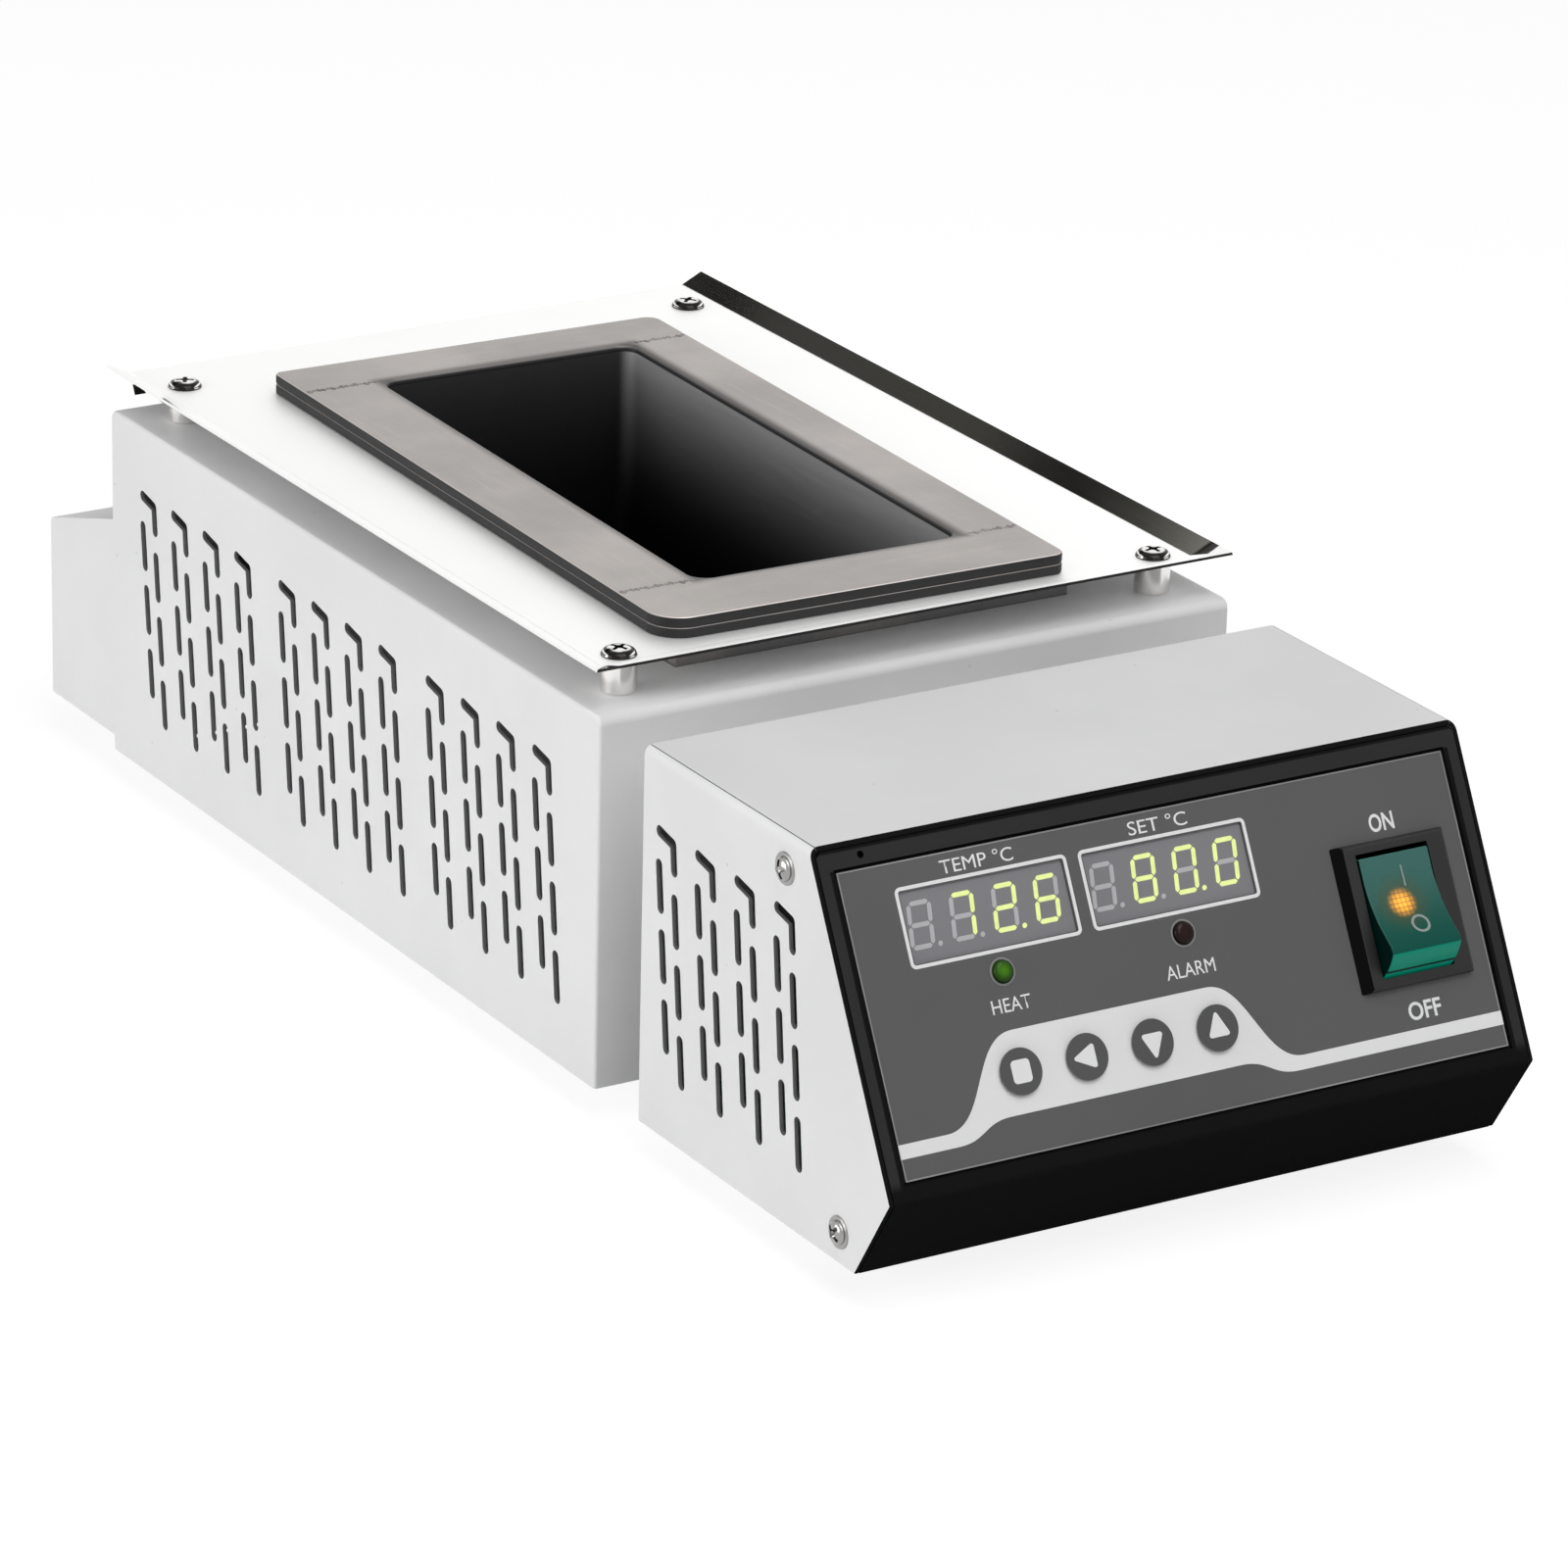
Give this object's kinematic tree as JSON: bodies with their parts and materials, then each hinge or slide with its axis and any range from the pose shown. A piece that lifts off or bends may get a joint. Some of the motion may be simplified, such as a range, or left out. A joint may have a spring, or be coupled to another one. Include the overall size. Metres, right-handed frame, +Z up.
{
  "type": "solder pot",
  "caption": "Benchtop solder pot: a bath on a drip tray over a vented furnace, joined to a sloping control box with displays, keys and a rocker switch.",
  "frame": {"origin": "middle of the bounding box at the level the feet stand on", "axes": "+X to the right across the control panel, +Y from the panel to the rear, +Z up"},
  "size_m": [0.1634, 0.4004, 0.1061],
  "materials": {
    "body_paint": "smooth light grey powder coat",
    "front_black": "glossy black moulding",
    "tray_steel": "mirror-polished stainless sheet",
    "pot_metal": "brushed titanium plate, heat-toned",
    "screw_dark": "black zinc",
    "screw_bright": "bright zinc",
    "pillar_metal": "plain turned",
    "liner_steel": "plain sheet",
    "fibre": "pressed ceramic fibre",
    "cast_heater": "as cast",
    "ceramic": "unglazed ceramic",
    "overlay_film": "fine satin film",
    "band_white": "pale printed film",
    "key_film": "satin film",
    "display_case": "grey filter face",
    "green_lens": "clear green lens",
    "red_lens": "clear red lens",
    "switch_black": "glossy black moulding",
    "rocker_green": "translucent green moulding",
    "contact_brass": "tinned brass",
    "board_green": "solder-masked board",
    "moulded_black": "plain black moulding",
    "core_steel": "laminated core",
    "sink_aluminium": "extruded",
    "foot_rubber": "soft rubber"
  },
  "bodies": {
    "case": {"furnace_shell": "body_paint", "furnace_base": "body_paint", "terminal_box": "body_paint", "cable_gland": "moulded_black", "drip_tray": "tray_steel", "tray_pillars": "pillar_metal", "tray_screws": "screw_dark", "solder_pot": "pot_metal", "pot_frame": "pot_metal", "inner_liner": "liner_steel", "liner_feet": "liner_steel", "insulation": "fibre", "heater": "cast_heater", "heater_bars": "ceramic", "temperature_probe": "liner_steel", "terminal_block": "ceramic", "control_housing": "body_paint", "control_base": "body_paint", "wiring_duct": "body_paint", "front_frame": "front_black", "panel_overlay": "overlay_film", "overlay_band": "band_white", "key_contacts": "moulded_black", "display_actual": "display_case", "display_set": "display_case", "lamp_heating": "green_lens", "lamp_alarm": "red_lens", "lamp_seats": "moulded_black", "display_board": "board_green", "board_spacers": "pillar_metal", "switch_body": "switch_black", "switch_blades": "contact_brass", "power_board": "board_green", "power_spacers": "pillar_metal", "transformer": "core_steel", "relay": "moulded_black", "heatsink": "sink_aluminium", "side_screws": "screw_bright", "feet": "foot_rubber"},
    "rocker": {"rocker": "rocker_green"},
    "key_set": {"key_set": "key_film"},
    "key_left": {"key_left": "key_film"},
    "key_down": {"key_down": "key_film"},
    "key_up": {"key_up": "key_film"}
  },
  "joints": [
    {"name": "rocker_tilt", "type": "hinge", "parent": "case", "child": "rocker", "pos_m": [0.0558, -0.17938, 0.05856], "axis": [1, 0, 0], "range_deg": [0, 28]},
    {"name": "key_set_press", "type": "slide", "parent": "case", "child": "key_set", "axis": [0, 0.8845, -0.4665], "range_m": [0, 0.0004], "stiffness_N_per_m": 800, "springref_m": -0.0004},
    {"name": "key_left_press", "type": "slide", "parent": "case", "child": "key_left", "axis": [0, 0.8845, -0.4665], "range_m": [0, 0.0004], "stiffness_N_per_m": 800, "springref_m": -0.0004},
    {"name": "key_down_press", "type": "slide", "parent": "case", "child": "key_down", "axis": [0, 0.8845, -0.4665], "range_m": [0, 0.0004], "stiffness_N_per_m": 800, "springref_m": -0.0004},
    {"name": "key_up_press", "type": "slide", "parent": "case", "child": "key_up", "axis": [0, 0.8845, -0.4665], "range_m": [0, 0.0004], "stiffness_N_per_m": 800, "springref_m": -0.0004}
  ]
}
